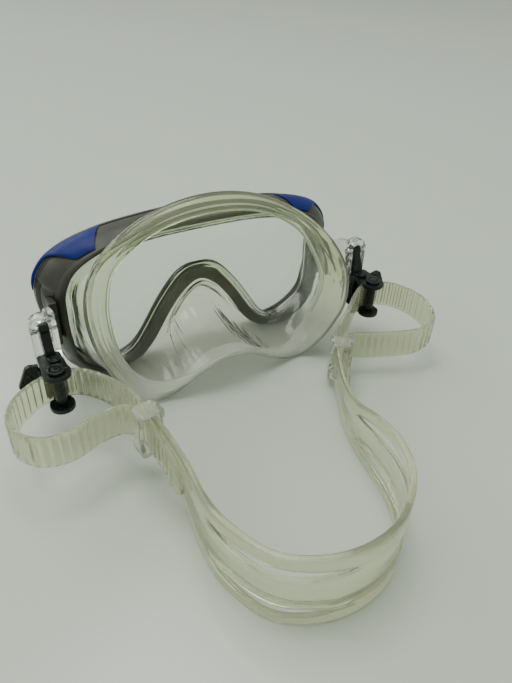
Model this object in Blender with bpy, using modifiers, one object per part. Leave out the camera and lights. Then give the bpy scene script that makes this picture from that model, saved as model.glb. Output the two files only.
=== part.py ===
"""Single-lens snorkelling mask: a framed lens, a silicone skirt with a nose pocket, and a split head strap
held by two swivelling roller buckles.

+Z is up, the lens faces -Y and +X is the wearer's left. The mask stands on its lower edge with the strap
lying behind it. Sizes are in millimetres, and MM turns them into metres. The empty mask_origin moves the
model so that the world's origin is under the middle of its bounding box."""

import math

import bmesh
import bpy
from mathutils import Matrix, Vector

MM = 0.001
GAP = 0.3  # clearance between pieces that touch
SIDES = (("left", 1), ("right", -1))

# The front plane of the bezel lies this far in front of the model's middle.
FRONT_TO_MIDDLE = 89.9

# Rim stations of one half, from the top centre down the side and up to the nose arch, as (x, z).
FRAME_EDGE = [
    (0, 82), (30, 80.5), (52, 77.5), (70, 71.5), (79.5, 61.5), (82, 49), (79, 30), (74, 13),
    (64.5, 2.5), (50, 0), (38.5, 1.5), (28, 10.5), (16.5, 28.5), (8.5, 38), (0, 42.5),
]
LENS_OPENING = [
    (0, 76), (30, 75), (50, 72), (64, 65.5), (70, 56), (71, 46), (70.5, 31), (68, 18),
    (59, 9.5), (48.5, 5.5), (41.5, 6.5), (33.5, 13), (20.5, 33), (10, 45), (0, 48.5),
]
# Depth of the frame's rear edge at each station, and how much each one belongs to the nose arch.
FRAME_DEPTH = [17, 17, 18, 19, 19, 19, 19, 19, 18, 14, 12, 11, 11, 11, 11]
NOSE_SHARE = [0, 0, 0, 0, 0, 0, 0, 0, 0, 0, 0.5, 1, 1, 1, 1]
# Skirt stations as (x, y, z): the bend of its wall, its outer edge and its inner sealing lip.
SKIRT_BEND = [
    (0, 25, 76), (25, 25, 75.5), (46, 26, 71), (58, 27, 64), (64, 30, 56), (65, 32, 47),
    (62, 32, 32), (57, 32, 19), (52, 30, 9), (45, 28, 4), (34, 28, 3), (19, 17, 5),
    (14, -10, 10), (11, -27, 14), (0, -31, 15),
]
SKIRT_EDGE = [
    (0, 20, 92.5), (20, 20, 90), (38, 20.5, 83.5), (56, 25, 72.5), (66, 36, 61), (68.5, 48, 48.5),
    (64.5, 55, 34), (57, 54.5, 20), (50.5, 50, 7.5), (44, 46, 1.6), (36, 46, 1.8), (27, 46, 5),
    (18, 46, 10), (9, 46, 14), (0, 46, 15),
]
SKIRT_LIP = [
    (0, 24.5, 84.5), (20, 24.5, 82.5), (36, 24.5, 76.5), (50, 27, 66.5), (56, 33, 54.5), (57.5, 39, 44),
    (55.5, 39.5, 32), (51.5, 38.5, 21), (46, 38, 12.5), (40, 41, 9.5), (33, 44, 9.5), (25, 47, 12),
    (17, 49, 16), (8.5, 51, 20), (0, 51, 21),
]
RIM_STEPS = 3  # points for each gap between two stations
ACCENT_FIRST = 5  # first rim point of the coloured cover

BEZEL_BACK = 2.6
LENS_FRONT = BEZEL_BACK + GAP
LENS_THICKNESS = 3.2
LENS_SHARE = 0.5  # how far the lens reaches under the rim, from opening (0) to frame edge (1)
REAR_TAPER, REAR_TAPER_START = 0.8, 8.0  # the frame's outer face narrows behind this depth
FRONT_TAPER, FRONT_TAPER_END = 0.12, 6.0
BRACKET_PAD = ((74.6, 10.5, 29), (79.3, 22.0, 54))  # foot on the frame's side that carries the bracket
ACCENT_UNDER, ACCENT_OVER = 0.07, 0.17  # faces of the coloured cover, as shares outside the frame
ACCENT_REARS = [16.0, 16.4, 16.6, 16.0, 12.5, 8.2, 6.4, 6.0, 5.6, 5.4]  # depth of its rear edge at each rim point
FLANGE_MIDDLE = 7.7
SHOULDER = 9.4  # front of the frame's inner shoulder, which the skirt's flange rests on
NECK_SHARE, NECK_SHARE_AT_NOSE, NECK_DEPTH, NECK_DEPTH_AT_NOSE = -0.32, 1.34, 15.0, 13.6
SKIRT_WALL, LIP_BULGE = 2.0, 2.2

# Strap buckle on the wearer's left. The right one is its mirror image.
PIN_Y, PIN_Z, PIN_R = 32.5, 50.0, 1.3
HOLE_R = PIN_R + GAP
ARM_X, ARM_THICK = 85.3, 4.2
LOOP_INNER_X, LOOP_OUTER_X, LOOP_WALL = 79.6, 91.0, 2.8
LOOP_BOTTOM, LOOP_TOP, LOOP_FRONT, LOOP_BACK = 26.0, 57.0, 30.0, 35.0
SPINE_FRONT, SPINE_BACK = LOOP_BACK + GAP, 39.8
SPINE_LOW_X, SPINE_HIGH_X = 81.6, 86.4
ROLLER_X, ROLLER_Y, ROLLER_R, ROLLER_BORE = 86.0, 50.0, 2.5, 1.4
PAWL_X, PAWL_Y, PAWL_PIN_R, PAWL_EYE_R = 84.7, 42.3, 0.9, 1.9
PLATE_TOP, PLATE_UNDER, FLANGE_TOP, FLANGE_UNDER = 38.4, 36.4, 20.8, 18.4
POST_R = 1.1
WING_TIP_X = 101.4

STRAP_THICK = 2.6
# Centre line of the strap as (x, y, z, half height), from the left tail to the right tail.
STRAP_PATH = [
    (59.4, 118, 17.5, 7.8), (59.8, 104, 21.6, 8), (60.8, 95, 24.5, 8), (62.1, 87.5, 26, 8), (63.7, 82, 26, 8),
    (68.5, 78.4, 26, 8), (78, 79.3, 26, 8), (90, 83.5, 26, 8), (101, 83.5, 27, 8), (108.6, 77, 27.8, 8),
    (110, 67, 28.3, 8), (106, 57.5, 28.6, 7.8), (98, 50.5, 28.6, 7.5), (90, 46.6, 28.6, 7.3),
    (86, 46, 28.6, 7.3), (81, 46.6, 28.6, 7.3), (74.5, 50.5, 28.6, 7.5), (68, 59, 28.4, 7.8), (62.3, 70, 27.8, 8),
    (59.4, 80, 26.4, 8), (58.2, 88, 25.4, 8), (56.8, 98, 24.3, 8.1), (56, 116, 17, 14),
    (58.3, 135, 16.8, 16.5), (57.5, 152, 18.1, 18), (50, 170, 18.6, 18.5), (35, 179.5, 18.6, 18.5),
    (18, 181.7, 18.6, 18.5), (2, 177, 18.6, 18.5), (-12, 165, 18.6, 18.5), (-20, 149, 18.1, 18),
    (-24, 132, 16.1, 16), (-28, 114, 12.8, 12), (-34, 98, 12.6, 9.2), (-41, 84, 13.8, 8),
    (-48, 71.5, 15.6, 8), (-51.6, 65.8, 17.2, 8), (-57, 61.5, 19.6, 8), (-65, 57.3, 23.2, 7.9),
    (-73.5, 51.3, 27, 7.5), (-80.5, 46.9, 28.5, 7.3),
    (-86, 46, 28.6, 7.3), (-91, 47, 28.5, 7.3), (-100, 52, 27.6, 7.5), (-107.5, 61, 25, 7.8),
    (-110, 71, 22, 8), (-105.5, 80, 19.5, 8), (-95, 83, 17.5, 8), (-84, 79.5, 16.3, 8),
    (-71, 73.6, 15.8, 8), (-62.5, 69.8, 16, 8), (-56.8, 69.8, 16.2, 8), (-53.2, 73, 15.8, 8),
    (-49.2, 78.6, 15, 8), (-44.6, 86, 13.8, 8), (-38.4, 96, 12.4, 7.8),
]
STRAP_STEPS = 4
# Slots that split the strap behind the head: first and last path point, and height as a share of half height.
STRAP_SLOTS = [(23.2, 26.6, 0.5), (23.5, 26.2, -0.62), (28.4, 31.8, 0.5), (28.8, 31.5, -0.62)]
SLOT_HALF_HEIGHT = 1.7

# Keepers as (side name, path point of the strap, path point of the tail) and their outer size.
KEEPERS = [("left", 20, 3), ("right", 35, 53)]
KEEPER_LONG, KEEPER_THICK, KEEPER_TALL, KEEPER_WALL = 8.5, 11.4, 21.4, 1.5

COLOURS = {
    "frame_grey": ((0.085, 0.078, 0.066), 0.38, 1.0),
    "accent_blue": ((0.012, 0.03, 0.28), 0.32, 1.0),
    "lens_glass": ((0.75, 0.85, 0.8), 0.05, 0.3),
    "skirt_silicone": ((0.62, 0.66, 0.52), 0.3, 0.5),
    "clear_plastic": ((0.8, 0.83, 0.8), 0.08, 0.35),
    "buckle_black": ((0.02, 0.026, 0.026), 0.35, 1.0),
    "pin_steel": ((0.55, 0.55, 0.53), 0.25, 1.0),
    "strap_silicone": ((0.52, 0.56, 0.42), 0.4, 0.7),
}


# ---- scene helpers ----

def clear_scene():
    for obj in list(bpy.data.objects):
        bpy.data.objects.remove(obj, do_unlink=True)


def make_collection(name, hidden):
    collection = bpy.data.collections.new(name)
    collection.hide_render = hidden
    bpy.context.scene.collection.children.link(collection)
    return collection


def make_material(name):
    colour, roughness, alpha = COLOURS[name]
    material = bpy.data.materials.get(name) or bpy.data.materials.new(name)
    material.use_nodes = True
    shader = material.node_tree.nodes["Principled BSDF"]
    shader.inputs["Base Color"].default_value = (*colour, 1.0)
    shader.inputs["Roughness"].default_value = roughness
    shader.inputs["Metallic"].default_value = 1.0 if name == "pin_steel" else 0.0
    shader.inputs["Alpha"].default_value = alpha
    return material


def add_part(name, mesh, material, parent, pivot=(0, 0, 0)):
    """A node whose origin is at pivot, given in the parent's millimetres."""
    offset = Vector(pivot) * MM
    mesh.transform(Matrix.Translation(-offset))
    mesh.shade_smooth()
    mesh.set_sharp_from_angle(angle=math.radians(35))
    obj = bpy.data.objects.new(name, mesh)
    obj.data.materials.append(make_material(material))
    obj.parent = parent
    obj.location = offset
    PARTS.objects.link(obj)
    return obj


def add_cutter(name, mesh, parent):
    obj = bpy.data.objects.new(name, mesh)
    obj.parent = parent
    obj.hide_render = True
    obj.display_type = "WIRE"
    CUTTERS.objects.link(obj)
    return obj


def combine(part, tools, operation, solver="EXACT"):
    for tool in tools:
        modifier = part.modifiers.new(tool.name, "BOOLEAN")
        modifier.operation = operation
        modifier.solver = solver
        modifier.object = tool


# ---- geometry helpers, in millimetres ----

def smooth(points, steps, closed):
    """Catmull-Rom curve through the points."""
    points = [Vector(p) for p in points]
    count = len(points)
    curve = []
    for i in range(count if closed else count - 1):
        b, c = points[i], points[(i + 1) % count]
        a = points[i - 1] if closed or i else 2 * b - c
        d = points[(i + 2) % count] if closed or i + 2 < count else 2 * c - b
        for step in range(steps):
            t = step / steps
            curve.append(
                0.5 * (2 * b + (c - a) * t + (2 * a - 5 * b + 4 * c - d) * t**2
                       + (3 * b - a - 3 * c + d) * t**3)
            )
    return curve if closed else curve + [points[-1]]


def whole(half):
    """A closed ring from one half's stations: its left half, then the mirrored right half."""
    left = [Vector(p) for p in half]
    return left + [Vector((-p[0], *p[1:])) for p in left[-2:0:-1]]


def ring_of(half):
    return smooth(whole(half), RIM_STEPS, True)


def ring_of_values(half):
    return [p[1] for p in ring_of([(0, value) for value in half])]


def mesh_of(name, points, faces):
    mesh = bpy.data.meshes.new(name)
    mesh.from_pydata([Vector(p) * MM for p in points], [], faces)
    tidy = bmesh.new()
    tidy.from_mesh(mesh)
    bmesh.ops.recalc_face_normals(tidy, faces=tidy.faces)
    tidy.to_mesh(mesh)
    tidy.free()
    return mesh


def loft(name, rings, along=False, caps=True):
    """Skins closed rings of equal length; along joins the last ring to the first."""
    size = len(rings[0])
    points = [p for ring in rings for p in ring]
    faces = []
    for i in range(len(rings) if along else len(rings) - 1):
        first, second = i * size, (i + 1) % len(rings) * size
        for j in range(size):
            k = (j + 1) % size
            faces.append((first + j, first + k, second + k, second + j))
    if caps and not along:
        faces.append(tuple(range(size)))
        faces.append(tuple(range(len(points) - size, len(points))))
    return mesh_of(name, points, faces)


def cylinder(name, centre, axis, radius, low, high, sides=24):
    """A cylinder along X or Z between low and high on that axis."""
    shape = bmesh.new()
    bmesh.ops.create_cone(
        shape, cap_ends=True, segments=sides, radius1=radius * MM, radius2=radius * MM,
        depth=(high - low) * MM,
    )
    turn = Matrix.Rotation(math.pi / 2, 4, "Y") if axis == "X" else Matrix.Identity(4)
    middle = Vector(centre)
    middle["XYZ".index(axis)] = (low + high) / 2
    bmesh.ops.transform(shape, matrix=Matrix.Translation(middle * MM) @ turn, verts=shape.verts)
    mesh = bpy.data.meshes.new(name)
    shape.to_mesh(mesh)
    shape.free()
    return mesh


def block(name, low, high, bevel=0.0):
    shape = bmesh.new()
    bmesh.ops.create_cube(shape, size=1.0)
    size = [(h - l) * MM for l, h in zip(low, high)]
    middle = (Vector(low) + Vector(high)) / 2 * MM
    matrix = Matrix.Translation(middle) @ Matrix.Diagonal((*size, 1))
    bmesh.ops.transform(shape, matrix=matrix, verts=shape.verts)
    if bevel:
        bmesh.ops.bevel(shape, geom=shape.edges, offset=bevel * MM, segments=2, affect="EDGES", profile=0.5)
    mesh = bpy.data.meshes.new(name)
    shape.to_mesh(mesh)
    shape.free()
    return mesh


def prism(name, outline, plane, low, high):
    """An outline drawn in plane XY, XZ or YZ, and thickened along the third axis."""
    slots = ["XYZ".index(letter) for letter in plane]
    third = 3 - sum(slots)
    rings = []
    for level in (low, high):
        ring = []
        for a, b in outline:
            point = [0.0, 0.0, 0.0]
            point[slots[0]], point[slots[1]], point[third] = a, b, level
            ring.append(point)
        rings.append(ring)
    return loft(name, rings)


def arc(centre, radius, start, end, steps=8):
    turn = math.radians(end - start) / steps
    return [
        (centre[0] + radius * math.cos(math.radians(start) + turn * i),
         centre[1] + radius * math.sin(math.radians(start) + turn * i))
        for i in range(steps + 1)
    ]


def round_box(low, high, radius, steps=6):
    """Outline of a rectangle with round corners."""
    (x0, z0), (x1, z1) = low, high
    return (
        arc((x1 - radius, z0 + radius), radius, -90, 0, steps)
        + arc((x1 - radius, z1 - radius), radius, 0, 90, steps)
        + arc((x0 + radius, z1 - radius), radius, 90, 180, steps)
        + arc((x0 + radius, z0 + radius), radius, 180, 270, steps)
    )


def mirrored(mesh, sign):
    """The same mesh for the other side of the head when sign is -1."""
    if sign < 0:
        mesh.transform(Matrix.Diagonal((-1, 1, 1, 1)))
        mesh.flip_normals()
    return mesh


# ---- mask body ----

def rim_point(i, share, depth):
    """Point i of the rim at a depth; share is 0 at the lens opening and 1 at the frame's edge."""
    inner, outer = OPENING_RING[i], EDGE_RING[i]
    x, z = inner + (outer - inner) * share
    return (x, depth, z)


def rim(share, depth):
    return [rim_point(i, share, depth) for i in range(len(EDGE_RING))]


def frame_share(i, depth):
    """How far out the frame's outer face lies at a depth: it tapers in towards its rear edge."""
    rear = DEPTH_RING[i]
    sides = (rear - min(FRAME_DEPTH)) / (max(FRAME_DEPTH) - min(FRAME_DEPTH))
    back = max(0.0, (depth - REAR_TAPER_START) / (rear - REAR_TAPER_START))
    front = max(0.0, (FRONT_TAPER_END - depth) / FRONT_TAPER_END)
    return 1.0 - REAR_TAPER * sides * back**1.6 - FRONT_TAPER * front**2


def frame_level(fraction):
    ring = []
    for i, rear in enumerate(DEPTH_RING):
        depth = LENS_FRONT + (rear - LENS_FRONT) * fraction
        ring.append(rim_point(i, frame_share(i, depth), depth))
    return ring


def make_frame(parent):
    lens_pocket = LENS_SHARE + 0.07
    rear_inside = [rim_point(i, 0.02, rear) for i, rear in enumerate(DEPTH_RING)]
    rings = [frame_level(fraction) for fraction in (0, 0.15, 0.35, 0.55, 0.75, 0.9, 1)]
    rings += [rear_inside, rim(0.02, SHOULDER), rim(lens_pocket, SHOULDER), rim(lens_pocket, LENS_FRONT)]
    frame = add_part("frame_main", loft("frame_main", rings, along=True), "frame_grey", parent)
    pads = []
    for side, sign in SIDES:
        mesh = mirrored(block("bracket_pad", *BRACKET_PAD, 1.0), sign)
        pads.append(add_cutter(f"bracket_pad_{side}", mesh, parent))
    combine(frame, pads, "UNION")
    bezel = [
        rim(0.97, BEZEL_BACK), rim(0.97, 1.6), rim(0.92, 0.5), rim(0.82, 0),
        rim(0.25, 0), rim(0.07, 0.5), rim(0, 1.4), rim(0, BEZEL_BACK),
    ]
    add_part("frame_bezel", loft("frame_bezel", bezel, along=True), "frame_grey", parent)


def make_lens(parent):
    back = LENS_FRONT + LENS_THICKNESS
    rings = [rim(LENS_SHARE, LENS_FRONT), rim(LENS_SHARE, back)]
    add_part("lens", loft("lens", rings), "lens_glass", parent)


def make_accent(side, sign, parent):
    """Coloured cover on an upper corner of the frame, which drops to a thin strip down the side."""
    front = LENS_FRONT + GAP
    rings = []
    for i, rear in enumerate(ACCENT_REARS, ACCENT_FIRST):
        depths = [front + (rear - front) * j / 4 for j in range(5)]
        inside = [rim_point(i, frame_share(i, y) + ACCENT_UNDER, y) for y in depths]
        outside = [rim_point(i, frame_share(i, y) + ACCENT_OVER, y) for y in reversed(depths)]
        rings.append([(sign * x, y, z) for x, y, z in inside + outside])
    add_part(f"accent_{side}", loft("accent", rings), "accent_blue", parent)


def skirt_rings():
    nose = ring_of_values(NOSE_SHARE)
    bend, edge, lip = ring_of(SKIRT_BEND), ring_of(SKIRT_EDGE), ring_of(SKIRT_LIP)
    neck = []
    for i, near_nose in enumerate(nose):
        share = NECK_SHARE + (NECK_SHARE_AT_NOSE - NECK_SHARE) * near_nose
        depth = NECK_DEPTH + (NECK_DEPTH_AT_NOSE - NECK_DEPTH) * near_nose
        neck.append(Vector(rim_point(i, share, depth)))
    rings = [rim(0.45, FLANGE_MIDDLE), rim(-0.1, FLANGE_MIDDLE), rim(-0.3, 9.0), rim(NECK_SHARE, 12.6), neck]
    for v in (0.12, 0.26, 0.42, 0.6, 0.8, 1.0):
        rings.append([
            a * (1 - v) ** 2 + 2 * b * v * (1 - v) + c * v * v for a, b, c in zip(neck, bend, edge)
        ])
    rings.append([(a + b) / 2 + Vector((0, LIP_BULGE, 0)) for a, b in zip(edge, lip)])
    rings.append(lip)
    return rings


def make_skirt(parent):
    skirt = add_part("skirt", loft("skirt", skirt_rings(), caps=False), "skirt_silicone", parent)
    shell = skirt.modifiers.new("wall", "SOLIDIFY")
    shell.thickness = SKIRT_WALL * MM
    shell.offset = 0.0


# ---- strap buckles ----

def make_mount(side, sign, parent):
    """Clear bracket on the side of the frame: a base rail and a closed loop that holds the swivel pin."""
    outer = round_box((LOOP_INNER_X, LOOP_BOTTOM), (LOOP_OUTER_X, LOOP_TOP), 5.0)
    inner = round_box(
        (LOOP_INNER_X + LOOP_WALL, LOOP_BOTTOM + 3.5), (LOOP_OUTER_X - LOOP_WALL, LOOP_TOP - 3.0), 2.2,
    )
    rings = [
        [(x, LOOP_FRONT, z) for x, z in outer], [(x, LOOP_BACK, z) for x, z in outer],
        [(x, LOOP_BACK, z) for x, z in inner], [(x, LOOP_FRONT, z) for x, z in inner],
    ]
    loop = mirrored(loft("mount", rings, along=True), sign)
    mount = add_part(f"mount_{side}", loop, "clear_plastic", parent)
    base = block("base", (LOOP_INNER_X, 15.2, 31.0), (LOOP_INNER_X + LOOP_WALL - 0.2, 33.0, 52.0), 0.8)
    rail = add_cutter(f"mount_rail_{side}", mirrored(base, sign), parent)
    hole = cylinder("hole", (0, PIN_Y, PIN_Z), "X", HOLE_R, LOOP_INNER_X - 2, LOOP_OUTER_X + 2)
    bore = add_cutter(f"mount_bore_{side}", mirrored(hole, sign), parent)
    combine(mount, [rail], "UNION")
    combine(mount, [bore], "DIFFERENCE")
    pin = cylinder("pin", (0, PIN_Y, PIN_Z), "X", PIN_R, LOOP_INNER_X + 0.4, LOOP_OUTER_X - 0.4)
    add_part(f"mount_pin_{side}", mirrored(pin, sign), "pin_steel", parent, (0, PIN_Y, PIN_Z))


def make_buckle(side, sign, parent):
    """Black moulding that hangs on the mount pin: a flat link, a spine, a top plate and a bottom flange."""
    low, high = ARM_X - ARM_THICK / 2, ARM_X + ARM_THICK / 2
    link = arc((PIN_Y, PIN_Z), 3.2, -20, 180, 12) + [
        (29.6, 44.0), (31.6, 40.0), (SPINE_FRONT, 36.0), (SPINE_FRONT, 30.0), (SPINE_BACK, 30.0),
        (SPINE_BACK, PLATE_UNDER), (38.6, 41.5), (36.4, 45.0),
    ]
    mesh = mirrored(prism("buckle", link, "YZ", low, high), sign)
    buckle = add_part(f"buckle_body_{side}", mesh, "buckle_black", parent, (0, PIN_Y, PIN_Z))
    top = arc((ROLLER_X, ROLLER_Y), 6.2, -25, 205, 16) + [
        (80.9, SPINE_FRONT + 1.2), (82.1, SPINE_FRONT), (90.0, SPINE_FRONT), (91.2, SPINE_FRONT + 1.2),
    ]
    flange = arc((ROLLER_X, ROLLER_Y), 5.6, -30, 210, 16) + [
        (SPINE_LOW_X, SPINE_FRONT), (SPINE_HIGH_X, SPINE_FRONT),
    ]
    joined = [
        prism("top_plate", top, "XY", PLATE_UNDER, PLATE_TOP),
        prism("flange", flange, "XY", FLANGE_UNDER, FLANGE_TOP),
        block("spine", (SPINE_LOW_X, SPINE_FRONT, FLANGE_UNDER + 0.4),
              (SPINE_HIGH_X, SPINE_BACK, PLATE_TOP - 0.4)),
    ]
    bores = [
        cylinder("pin_bore", (0, PIN_Y, PIN_Z), "X", HOLE_R, low - 2, high + 2),
        cylinder("roller_bore", (ROLLER_X, ROLLER_Y, 0), "Z", POST_R + GAP, FLANGE_UNDER - 2, PLATE_TOP + 2),
        cylinder("pawl_bore", (PAWL_X, PAWL_Y, 0), "Z", PAWL_PIN_R + GAP, FLANGE_UNDER - 2, PLATE_TOP + 2),
    ]
    combine(buckle, [add_cutter(f"{m.name}_{side}", mirrored(m, sign), parent) for m in joined], "UNION")
    combine(buckle, [add_cutter(f"{m.name}_{side}", mirrored(m, sign), parent) for m in bores], "DIFFERENCE")


def make_headed_pin(name, x, y, radius, head, sign, parent):
    """Upright pin through the buckle's two plates, with a flat head on the top one."""
    shaft = cylinder(name, (x, y, 0), "Z", radius, FLANGE_UNDER + GAP, PLATE_TOP + 0.8, 16)
    cap = cylinder("cap", (x, y, 0), "Z", head, PLATE_TOP + GAP, PLATE_TOP + 1.5, 20)
    pin = add_part(name, mirrored(shaft, sign), "buckle_black", parent, (sign * x, y, 0))
    combine(pin, [add_cutter(f"{name}_head", mirrored(cap, sign), parent)], "UNION")


def make_roller(side, sign, parent):
    """Sleeve that the strap turns round."""
    low, high = FLANGE_TOP + GAP, PLATE_UNDER - GAP
    rings = []
    for radius, z in ((ROLLER_R, low), (ROLLER_R, high), (ROLLER_BORE, high), (ROLLER_BORE, low)):
        rings.append([(x, y, z) for x, y in arc((sign * ROLLER_X, ROLLER_Y), radius, 0, 345, 23)])
    mesh = loft("roller", rings, along=True)
    add_part(f"roller_{side}", mesh, "buckle_black", parent, (sign * ROLLER_X, ROLLER_Y, 0))
    make_headed_pin(f"roller_pin_{side}", ROLLER_X, ROLLER_Y, POST_R, 3.4, sign, parent)


def make_pawl(side, sign, parent):
    """Toothed pawl that grips the strap's ribs, with a finger wing that reaches out to the side."""
    low, high = FLANGE_TOP + GAP, PLATE_UNDER - GAP
    outline = arc((PAWL_X, PAWL_Y), PAWL_EYE_R, 90, 270, 10)
    outline += [(92.6, PAWL_Y - 1.5), (92.6, PAWL_Y + 1.1)]
    for tooth in range(3):
        outline += [(91.4 - 1.2 * tooth, PAWL_Y + 1.8), (90.8 - 1.2 * tooth, PAWL_Y + 1.1)]
    mesh = mirrored(prism("pawl", outline, "XY", low, high), sign)
    pawl = add_part(f"pawl_{side}", mesh, "buckle_black", parent, (sign * PAWL_X, PAWL_Y, 0))
    wing = [
        (91.8, 31.0), (91.8, 38.4), (95.6, 39.2), (97.4, 38.4), (WING_TIP_X, 29.4), (100.4, 27.8), (95.4, 31.2),
    ]
    plate = mirrored(prism("wing", wing, "XZ", PAWL_Y - 1.4, PAWL_Y + 1.0), sign)
    bore = cylinder("bore", (PAWL_X, PAWL_Y, 0), "Z", PAWL_PIN_R + GAP, low - 2, high + 2)
    combine(pawl, [add_cutter(f"wing_{side}", plate, parent)], "UNION")
    combine(pawl, [add_cutter(f"pawl_eye_{side}", mirrored(bore, sign), parent)], "DIFFERENCE")
    make_headed_pin(f"pawl_pin_{side}", PAWL_X, PAWL_Y, PAWL_PIN_R, 2.2, sign, parent)


# ---- strap and keepers ----

def strap_point(position):
    """The strap's centre line at a fractional path point, as (x, y, z, half height)."""
    i = min(int(position * STRAP_STEPS), len(STRAP_CURVE) - 2)
    return STRAP_CURVE[i].lerp(STRAP_CURVE[i + 1], position * STRAP_STEPS - i)


def band(name, stations, thickness):
    """Skins a flat upright band along stations of (x, y, z, half height)."""
    rings = []
    for i, here in enumerate(stations):
        before, after = stations[max(i - 1, 0)], stations[min(i + 1, len(stations) - 1)]
        run = Vector((after[0] - before[0], after[1] - before[1])).normalized() * thickness / 2
        rings.append([
            (here[0] + turn * run.y, here[1] - turn * run.x, here[2] + rise * here[3])
            for turn, rise in ((1, 1), (1, -1), (-1, -1), (-1, 1))
        ])
    return loft(name, rings)


def make_strap(parent):
    strap = add_part("strap", band("strap", STRAP_CURVE, STRAP_THICK), "strap_silicone", parent)
    cutters = []
    for number, (first, last, height) in enumerate(STRAP_SLOTS):
        stations = []
        steps = 16
        for step in range(steps + 1):
            here = strap_point(first + (last - first) * step / steps).copy()
            here[2] += height * here[3]
            here[3] = 0.15 + SLOT_HALF_HEIGHT * math.sin(math.pi * step / steps) ** 0.6
            stations.append(here)
        cutters.append(add_cutter(f"slot_{number}", band("slot", stations, 3 * STRAP_THICK), parent))
    combine(strap, cutters, "DIFFERENCE", "MANIFOLD")


def make_keeper(side, main, tail, parent):
    """Square loop that holds the tail beside the strap."""
    near, far = STRAP_CURVE[main * STRAP_STEPS], STRAP_CURVE[tail * STRAP_STEPS]
    ahead = STRAP_CURVE[(main + 1) * STRAP_STEPS]
    along = Vector((ahead[0] - near[0], ahead[1] - near[1])).normalized()
    middle = Vector(((near[0] + far[0]) / 2, (near[1] + far[1]) / 2, near[2]))
    rings = []
    for end in (-0.5, 0.5, 0.5, -0.5):
        shrink = KEEPER_WALL if len(rings) > 1 else 0.0
        half_thick, half_tall = KEEPER_THICK / 2 - shrink, KEEPER_TALL / 2 - shrink
        outline = round_box((-half_thick, -half_tall), (half_thick, half_tall), 1.6 - shrink / 2, 3)
        rings.append([
            middle + Vector((along.x, along.y, 0)) * end * KEEPER_LONG
            + Vector((along.y, -along.x, 0)) * a + Vector((0, 0, b))
            for a, b in outline
        ])
    add_part(f"keeper_{side}", loft("keeper", rings, along=True), "clear_plastic", parent)


clear_scene()
PARTS = make_collection("snorkel_mask", hidden=False)
CUTTERS = make_collection("cutters", hidden=True)
EDGE_RING, OPENING_RING = ring_of(FRAME_EDGE), ring_of(LENS_OPENING)
DEPTH_RING = ring_of_values(FRAME_DEPTH)
STRAP_CURVE = smooth(STRAP_PATH, STRAP_STEPS, False)
ORIGIN = bpy.data.objects.new("mask_origin", None)
ORIGIN.location = (0, -FRONT_TO_MIDDLE * MM, 0)
PARTS.objects.link(ORIGIN)

make_frame(ORIGIN)
make_lens(ORIGIN)
for SIDE, SIGN in SIDES:
    make_accent(SIDE, SIGN, ORIGIN)
    make_mount(SIDE, SIGN, ORIGIN)
    make_buckle(SIDE, SIGN, ORIGIN)
    make_roller(SIDE, SIGN, ORIGIN)
    make_pawl(SIDE, SIGN, ORIGIN)
make_skirt(ORIGIN)
make_strap(ORIGIN)
for KEEPER in KEEPERS:
    make_keeper(*KEEPER, ORIGIN)
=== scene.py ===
"""Looks of the snorkelling mask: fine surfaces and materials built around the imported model.

Lengths are in millimetres in the mask's own axes, with y = 0 on the bezel's front plane, and metre() turns
them into the frame's metres. Left and right are the wearer's, so left is +X."""

import math

import bmesh
import bpy
import numpy as np
from mathutils import Matrix, Vector


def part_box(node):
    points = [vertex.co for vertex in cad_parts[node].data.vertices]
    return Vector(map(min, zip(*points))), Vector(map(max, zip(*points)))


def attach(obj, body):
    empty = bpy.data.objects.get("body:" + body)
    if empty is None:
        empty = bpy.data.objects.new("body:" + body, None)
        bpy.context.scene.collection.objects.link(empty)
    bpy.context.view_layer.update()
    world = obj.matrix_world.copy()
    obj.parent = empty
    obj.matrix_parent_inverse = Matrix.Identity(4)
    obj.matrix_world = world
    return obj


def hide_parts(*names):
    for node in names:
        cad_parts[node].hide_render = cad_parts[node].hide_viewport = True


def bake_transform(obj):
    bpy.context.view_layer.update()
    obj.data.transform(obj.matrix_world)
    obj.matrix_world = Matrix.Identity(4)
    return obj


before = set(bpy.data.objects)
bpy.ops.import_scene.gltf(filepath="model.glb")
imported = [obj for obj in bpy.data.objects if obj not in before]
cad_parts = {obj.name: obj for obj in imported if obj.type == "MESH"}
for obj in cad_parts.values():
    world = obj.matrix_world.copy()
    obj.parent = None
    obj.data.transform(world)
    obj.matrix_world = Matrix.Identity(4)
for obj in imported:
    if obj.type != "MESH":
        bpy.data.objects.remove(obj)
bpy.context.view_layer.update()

MM = 0.001
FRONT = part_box("frame_bezel")[0].y / MM
SIDES = (("left", 1), ("right", -1))

# Rim stations of one half, from the top centre down the side and up to the nose arch, as (x, z).
FRAME_EDGE = [
    (0, 82), (30, 80.5), (52, 77.5), (70, 71.5), (79.5, 61.5), (82, 49), (79, 30), (74, 13),
    (64.5, 2.5), (50, 0), (38.5, 1.5), (28, 10.5), (16.5, 28.5), (8.5, 38), (0, 42.5),
]
LENS_OPENING = [
    (0, 76), (30, 75), (50, 72), (64, 65.5), (70, 56), (71, 46), (70.5, 31), (68, 18),
    (59, 9.5), (48.5, 5.5), (41.5, 6.5), (33.5, 13), (20.5, 33), (10, 45), (0, 48.5),
]
FRAME_DEPTH = [17, 17, 18, 19, 19, 19, 19, 19, 18, 14, 12, 11, 11, 11, 11]
NOSE_SHARE = [0, 0, 0, 0, 0, 0, 0, 0, 0, 0, 0.5, 1, 1, 1, 1]
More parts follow.
